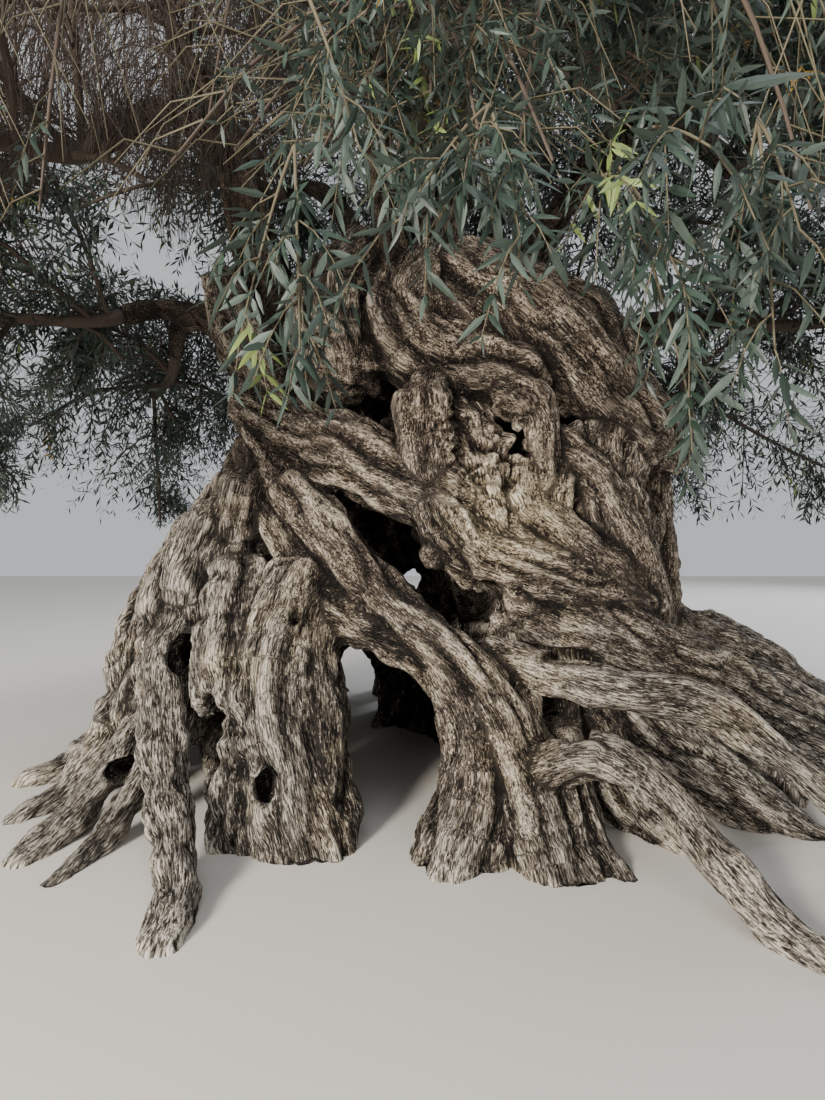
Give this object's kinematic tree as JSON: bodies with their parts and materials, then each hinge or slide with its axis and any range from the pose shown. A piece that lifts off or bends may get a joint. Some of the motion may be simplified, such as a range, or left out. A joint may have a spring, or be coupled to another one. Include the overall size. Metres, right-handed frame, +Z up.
{
  "type": "ancient olive tree",
  "caption": "Whole old olive tree: a hollow trunk of twisted fused strands with an archway through its base, flaring roots, short boughs and a low umbrella crown.",
  "frame": {"origin": "in the trunk's flat cut at ground level, under its solid right half", "axes": "+Z up, -Y towards the side with the archway, +X to the right of that side"},
  "size_m": [8.3133, 7.8903, 6.3673],
  "materials": {
    "bark": "rough weathered olive bark and bare wood, grey brown",
    "bough_bark": "rough dark brown olive bark",
    "twigs": "thin grey brown twigs, matt",
    "foliage": "narrow leathery olive leaves, grey green above and silvery below"
  },
  "bodies": {
    "root": {"trunk_head": "bark", "trunk_right": "bark", "trunk_left": "bark", "trunk_jamb": "bark", "trunk_front": "bark", "trunk_back": "bark", "bough_left": "bough_bark", "bough_left_low": "bough_bark", "bough_middle_left": "bough_bark", "bough_centre": "bough_bark", "bough_front": "bough_bark", "bough_right_upper": "bough_bark", "bough_right": "bough_bark", "bough_back": "bough_bark", "branch_rim_left_front": "bough_bark", "branch_top_left_front": "bough_bark", "branch_rim_left": "bough_bark", "branch_rim_left_back": "bough_bark", "branch_top_left_back": "bough_bark", "branch_apex": "bough_bark", "branch_top_front": "bough_bark", "branch_rim_front": "bough_bark", "branch_top_right_front": "bough_bark", "branch_top_right_back": "bough_bark", "branch_rim_right_front": "bough_bark", "branch_rim_right": "bough_bark", "branch_rim_right_back": "bough_bark", "branch_rim_back_right": "bough_bark", "branch_rim_back_left": "bough_bark", "branch_top_back": "bough_bark", "mass_rim_left_front": "twigs", "mass_top_left_front": "twigs", "mass_rim_left": "foliage", "mass_rim_left_back": "foliage", "mass_top_left_back": "foliage", "mass_apex": "foliage", "mass_top_front": "foliage", "mass_rim_front": "foliage", "mass_top_right_front": "foliage", "mass_top_right_back": "foliage", "mass_rim_right_front": "foliage", "mass_rim_right": "foliage", "mass_rim_right_back": "foliage", "mass_rim_back_right": "foliage", "mass_rim_back_left": "foliage", "mass_top_back": "foliage"}
  },
  "joints": []
}
